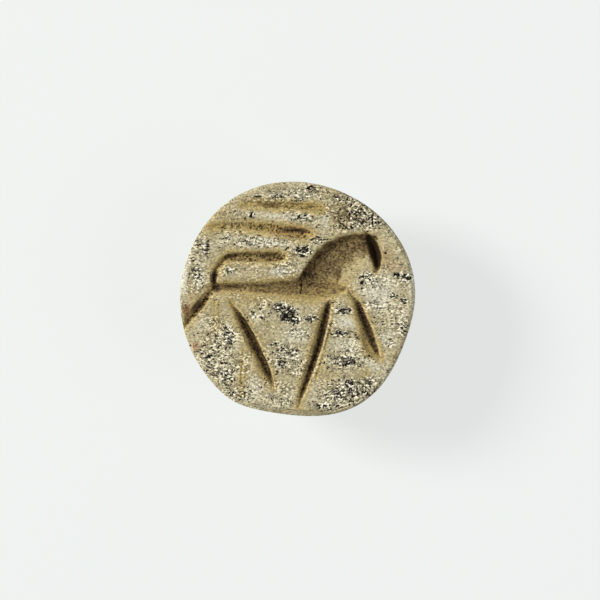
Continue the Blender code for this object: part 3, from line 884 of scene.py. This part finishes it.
# %% Move the face's places down
WAVES = 0.020             # how uneven the ground face is
SCRATCHES = 0.010
GRAIN = 0.018
waves = noise_at(face_x, face_y, level, 2.1, 1.3, 1, 71.0) - 0.7
scratches = noise_at(face_x, face_y, level, 1.7, 0.11, 1, 43.0) - 0.7
grain = noise_at(face_x, face_y, level, 0.16, 0.14, 1, 97.0) - 0.7
sink = fall - rim_fall + thin_fall
sink += PIT_DEPTH * pits * (0.6 + 0.8 * crowd)
sink -= WAVES * waves + SCRATCHES * scratches + GRAIN * grain
places[on_face, 2] -= face_share[on_face] * sink
surface["pit"][on_face] = pits * face_share[on_face]
plain = ranked(noise_at(face_x, face_y, level, 1.9, 1.1, 1, 23.0))
specks = np.maximum(0.08 + 0.30 * smooth_rise(plain, 0.35, 1.0), 1.7 * crowd)
surface["speck"][on_face] = np.clip(specks, 0, 1) * (1 - 0.5 * in_cut)
raise_field("ochre", on_face, stain(ragged_x, ragged_y, OCHRE_STAINS))
# Whitish areas, the painted light on the left of the rim, and the pale, partly lit rims of the
# pits.
surface["pale"][on_face] = stain(ragged_x, ragged_y, PALE_AND_LIT_AREAS) * (1 - in_cut)
raise_field("pale", on_face, pit_rims_pale_and_lit * (1 - in_cut))
surface["rust"][on_face] = stain(ragged_x, ragged_y, RUST_STAINS)
print(f"lowest place of the face {places[on_face, 2].min():.2f} mm up")

# %% [markdown]
# ## The back
#
# The dome isn't seen in the photo. It is the same stone, so it gets the same pits
# and stains, but plainer: broad soft wear, scattered larger pits, and dirt round
# the mouths of the string hole.

# %% Wear and pit the back
BACK_PITS = 0.06          # the share of the back that is pits
BACK_PIT_DEPTH = 0.07
BACK_WAVES = 0.03
bore = np.empty(count)
stone_mesh.attributes["bore"].data.foreach_get("value", bore)
on_back = np.flatnonzero((face_share < 1) & (bore < 0.5))
back_x, back_y, back_z = start_x[on_back], start_y[on_back], start_z[on_back]
back_noise = (
    0.6 * noise_at(back_x, back_y, back_z, 0.50, 0.34, 0.34, 13.0)
    + 0.5 * noise_at(back_x, back_y, back_z, 0.95, 0.70, 0.70, 37.0)
)
back_pits = smooth_rise(ranked(back_noise), 1 - BACK_PITS * 1.4, 1 - BACK_PITS * 0.6)
back_waves = noise_at(back_x, back_y, back_z, 2.6, 2.2, 2.2, 53.0) - 0.8
blotch = smooth_rise(noise_at(back_x, back_y, back_z, 2.0, 1.6, 1.6, 67.0), 0.05, 0.5)
axis_away = np.hypot(back_y, back_z - HOLE_Z)
mouth_side = smooth_rise(np.abs(back_x), 4.0, 6.5)
clear = smooth_rise(axis_away, MOUTH_RADIUS, MOUTH_RADIUS + 0.5) * mouth_side + (1 - mouth_side)
back_share = 1 - face_share[on_back]
sink = (BACK_PIT_DEPTH * back_pits - BACK_WAVES * back_waves) * back_share * clear
sink *= smooth_rise(back_z, 0.0, 0.5)
places[on_back] -= sink[:, None] * normals[on_back]
dirt = 0.8 * smooth_rise(axis_away, MOUTH_RADIUS + 0.9, HOLE_RADIUS) * mouth_side

raise_field("pit", on_back, back_pits * back_share)
raise_field("earth", on_back, dirt * back_share)
raise_field("earth", np.flatnonzero(bore > 0.5), 0.8)
raise_field("ochre", on_back, 0.5 * blotch * back_share)
raise_field("speck", on_back, back_share * (0.10 + 0.25 * blotch))
print(f"pits cover {np.mean(back_pits > 0.5):.3f} of the back")

# %% Write the shape and the fields back to the mesh, in metres
stone_mesh.vertices.foreach_set("co", (places * MM).ravel())
for name, values in surface.items():
    field = stone_mesh.attributes.new(name, "FLOAT", "POINT")
    field.data.foreach_set("value", values)
stone_mesh.update()
print("fields:", ", ".join(surface))

# %% [markdown]
# ## A flat map of the surface
#
# The face is laid out as one large disc, the back as a smaller one beside it, and
# the wall of the hole as a strip in a free corner.

# %% Lay the surface out flat
FACE_DISC = (0.345, 0.345, 0.340)   # middle and radius on the map
BACK_DISC = (0.765, 0.765, 0.230)
STRIP = (0.73, 0.04, 0.0205)        # corner, and map units for each millimetre


def on_disc(disc, share, turn):
    """Where a share of the way out, in a direction, lies on one of the two discs."""
    middle_x, middle_y, radius = disc
    return (middle_x + radius * share * cos(turn), middle_y + radius * share * sin(turn))


def on_strip(point, round_axis):
    """Where a place on the wall of the hole lies on the strip."""
    away = hypot(point.y, point.z - HOLE_Z * MM) / MM
    along = (abs(point.x) / MM + away - HOLE_RADIUS) * (1 if point.x > 0 else -1)
    return (
        STRIP[0] + STRIP[2] * HOLE_RADIUS * (round_axis + pi),
        STRIP[1] + STRIP[2] * (along + FACE_RADIUS),
    )


def lay_flat(mesh):
    """Write the map of the surface. A face of the strip stays on one side of its seam."""
    shares = mesh.attributes["share"].data
    turns = mesh.attributes["turn"].data
    parts = mesh.attributes["part_of"].data
    flat = mesh.uv_layers.new(name="OFBake").uv
    for face in mesh.polygons:
        part = parts[face.index].value
        if part == HOLE_PART:
            points = [mesh.vertices[index].co for index in face.vertices]
            around = [atan2(point.z - HOLE_Z * MM, point.y) for point in points]
            if max(around) - min(around) > pi:
                around = [angle + 2 * pi if angle < 0 else angle for angle in around]
            corners = [on_strip(point, angle) for point, angle in zip(points, around)]
        else:
            disc = FACE_DISC if part == FACE_PART else BACK_DISC
            corners = [
                on_disc(disc, shares[index].value, turns[index].value)
                for index in face.vertices
            ]
        for loop, corner in zip(face.loop_indices, corners):
            flat[loop].vector = corner


lay_flat(stone_mesh)
for name in ("share", "turn", "out", "bore", "part_of"):
    stone_mesh.attributes.remove(stone_mesh.attributes[name])
flat = np.empty(2 * len(stone_mesh.loops))
stone_mesh.uv_layers["OFBake"].uv.foreach_get("vector", flat)
print(f"the map spans {flat.min():.3f} to {flat.max():.3f}")

# %% [markdown]
# ## Stone, stains and earth
#
# One material reads the fields. The ground is a pale cream that turns whitish or
# tan, ochre lies along the strokes, brown earth fills them and also paints the shade
# on their shaded walls, the lips get a painted highlight, and pits are nearly
# black. What is finer than the net comes from noise on object coordinates, drawn
# out along X like the pits.

# %% Small helpers for shader nodes
def node(tree, kind, inputs=None, **settings):
    """A shader node with its settings, and its inputs set or wired."""
    made = tree.nodes.new("ShaderNode" + kind)
    for key, value in settings.items():
        setattr(made, key, value)
    for key, value in (inputs or {}).items():
        if isinstance(value, bpy.types.NodeSocket):
            tree.links.new(value, made.inputs[key])
        else:
            made.inputs[key].default_value = value
    return made


def rise(tree, value, low, high, top=1.0):
    """A smooth rise from 0 at low to top at high."""
    made = node(tree, "MapRange", {
        "Value": value, "From Min": low, "From Max": high, "To Min": 0.0, "To Max": top,
    }, interpolation_type="SMOOTHSTEP")
    return made.outputs["Result"]


def maths(tree, operation, first, second):
    """One sum, clamped to 0..1."""
    made = node(tree, "Math", {0: first, 1: second}, operation=operation, use_clamp=True)
    return made.outputs[0]


def scaled(tree, value, factor, plus):
    """value * factor + plus."""
    made = node(tree, "Math", {0: value, 1: factor, 2: plus}, operation="MULTIPLY_ADD")
    return made.outputs[0]


def mixed(tree, factor, first, second):
    """The first colour, turned into the second by a factor."""
    made = node(tree, "Mix", {0: factor, 6: first, 7: second}, data_type="RGBA")
    return made.outputs[2]


def field(tree, name):
    """One of the fields that the mesh carries."""
    return node(tree, "Attribute", attribute_name=name).outputs["Fac"]


# %% The grain of the stone, as a group that puts out masks
def stone_grain():
    """Noise on places in millimetres: broad mottling, fine grain and specks."""
    group = bpy.data.node_groups.new("stone_grain", "ShaderNodeTree")
    group.interface.new_socket("Place", in_out="INPUT", socket_type="NodeSocketVector")
    group.interface.new_socket("Crowding", in_out="INPUT", socket_type="NodeSocketFloat")
    for name in ("Broad", "Fine", "Specks"):
        group.interface.new_socket(name, in_out="OUTPUT", socket_type="NodeSocketFloat")
    source = group.nodes.new("NodeGroupInput")
    result = group.nodes.new("NodeGroupOutput")
    drawn_out = node(group, "Mapping", {
        "Vector": source.outputs["Place"], "Scale": (0.70, 1.0, 1.0),
    }).outputs["Vector"]
    broad = node(group, "TexNoise", {"Vector": drawn_out, "Scale": 0.9, "Detail": 3.0})
    fine = node(group, "TexNoise", {"Vector": drawn_out, "Scale": 6.4, "Detail": 2.0})
    specks = node(group, "TexNoise", {
        "Vector": drawn_out, "Scale": 6.2, "Detail": 2.0, "Distortion": 0.8,
    })
    lowest = node(group, "MapRange", {
        "Value": source.outputs["Crowding"], "From Min": 0.0, "From Max": 1.0,
        "To Min": SPECK_LEVEL, "To Max": SPECK_LEVEL - 0.19,
    }).outputs["Result"]
    above = node(group, "Math", {0: specks.outputs[0], 1: lowest}, operation="SUBTRACT")
    mask = rise(group, above.outputs[0], 0.0, 0.045)
    group.links.new(rise(group, broad.outputs[0], 0.38, 0.66), result.inputs["Broad"])
    group.links.new(rise(group, fine.outputs[0], 0.34, 0.66), result.inputs["Fine"])
    group.links.new(mask, result.inputs["Specks"])
    return group


SPECK_LEVEL = 0.665       # how high the noise must be for a speck on plain ground
grain_group = stone_grain()
print("grain group:", len(grain_group.nodes), "nodes")

# %% Colours of the stone and of what lies on it
GRIT = 0.26               # how far the grain turns a colour lighter or darker
GRIT_CROWDED = 0.62       # and where pits crowd
CREAM = (0.545, 0.485, 0.30, 1)
WHITISH = (0.69, 0.655, 0.51, 1)
TAN = (0.38, 0.315, 0.165, 1)
GLINT = (0.90, 0.86, 0.69, 1)
OCHRE = (0.45, 0.325, 0.10, 1)
EARTH_AND_SHADE = (0.165, 0.112, 0.045, 1)
DEEP_EARTH_AND_SHADE = (0.030, 0.017, 0.008, 1)
RUST = (0.42, 0.15, 0.055, 1)
PIT = (0.010, 0.0065, 0.004, 1)
LIP_WEAR_AND_HIGHLIGHT = (0.74, 0.62, 0.34, 1)


def stone_colour(tree, grain):
    """Ground, stains, painted highlights, earth with painted shade, specks and pits, one over
    the other.
    """
    fine = grain.outputs["Fine"]
    # Whitish stone, with painted highlights on the rims of pits and on the left of the rim.
    pale = field(tree, "pale")
    colour = mixed(tree, pale, CREAM, WHITISH)
    tan = maths(tree, "MULTIPLY", grain.outputs["Broad"], 0.55)
    tan = maths(tree, "SUBTRACT", tan, maths(tree, "MULTIPLY", pale, 0.6))
    colour = mixed(tree, tan, colour, TAN)
    ochre = maths(tree, "MULTIPLY", field(tree, "ochre"), rise(tree, fine, -0.6, 0.8))
    colour = mixed(tree, ochre, colour, OCHRE)
    crowding = rise(tree, field(tree, "speck"), 0.0, 0.7)
    lighter = maths(tree, "MULTIPLY", rise(tree, fine, 0.60, 1.0), crowding)
    colour = mixed(tree, lighter, colour, GLINT)
    # Worn lips, with a painted highlight on the side that faces the key light.
    colour = mixed(tree, maths(tree, "MULTIPLY", field(tree, "worn"), 0.8), colour, LIP_WEAR_AND_HIGHLIGHT)
    rust = maths(tree, "MULTIPLY", field(tree, "rust"), rise(tree, fine, -0.3, 0.9))
    colour = mixed(tree, rust, colour, RUST)
    earth = field(tree, "earth")
    # Brown earth, darkest where it is deep: it also paints the shade on shaded walls and in the
    # deep cores.
    colour = mixed(tree, rise(tree, earth, 0.05, 0.60), colour, EARTH_AND_SHADE)
    colour = mixed(tree, rise(tree, earth, 0.55, 1.0), colour, DEEP_EARTH_AND_SHADE)
    strength = scaled(tree, crowding, GRIT_CROWDED - GRIT, GRIT)
    swing = scaled(tree, fine, 2.0, -1.0)
    grit = scaled(tree, swing, strength, 1.0)
    colour = node(tree, "VectorMath", {0: colour, "Scale": grit}, operation="SCALE").outputs[0]
    specks = maths(tree, "MULTIPLY", grain.outputs["Specks"], 0.9)
    colour = mixed(tree, specks, colour, PIT)
    return mixed(tree, rise(tree, field(tree, "pit"), 0.1, 0.8), colour, PIT)


def stone_material():
    """Dull stone whose grain also shows as a fine unevenness."""
    material = bpy.data.materials.new("stained_stone")
    material.use_nodes = True
    tree = material.node_tree
    shader = tree.nodes["Principled BSDF"]
    objects = node(tree, "TexCoord").outputs["Object"]
    place = node(tree, "VectorMath", {0: objects, "Scale": 1 / MM}, operation="SCALE")
    grain = node(tree, "Group", {
        "Place": place.outputs[0], "Crowding": field(tree, "speck"),
    }, node_tree=grain_group)
    tree.links.new(stone_colour(tree, grain), shader.inputs["Base Color"])
    shader.inputs["Roughness"].default_value = 0.75
    shader.inputs["Specular IOR Level"].default_value = 0.10
    height = maths(tree, "SUBTRACT", grain.outputs["Fine"], grain.outputs["Specks"])
    bump = node(tree, "Bump", {"Height": height, "Strength": 0.7, "Distance": 0.03 * MM})
    tree.links.new(bump.outputs["Normal"], shader.inputs["Normal"])
    return material


stone_mesh.materials.append(stone_material())
print("material nodes:", len(stone_mesh.materials[0].node_tree.nodes))

# %% [markdown]
# ## Put the piece in its place
#
# The piece stands for the whole packed seal, so it hides that and rides on its body.

# %% Hand the piece over and count its triangles
stone = bpy.data.objects.new("seal_stone", stone_mesh)
bpy.context.scene.collection.objects.link(stone)
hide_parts("seal")
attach(stone, "root")
triangles = sum(len(face.vertices) - 2 for face in stone_mesh.polygons)
print("triangles:", triangles)

bpy.context.view_layer.update()
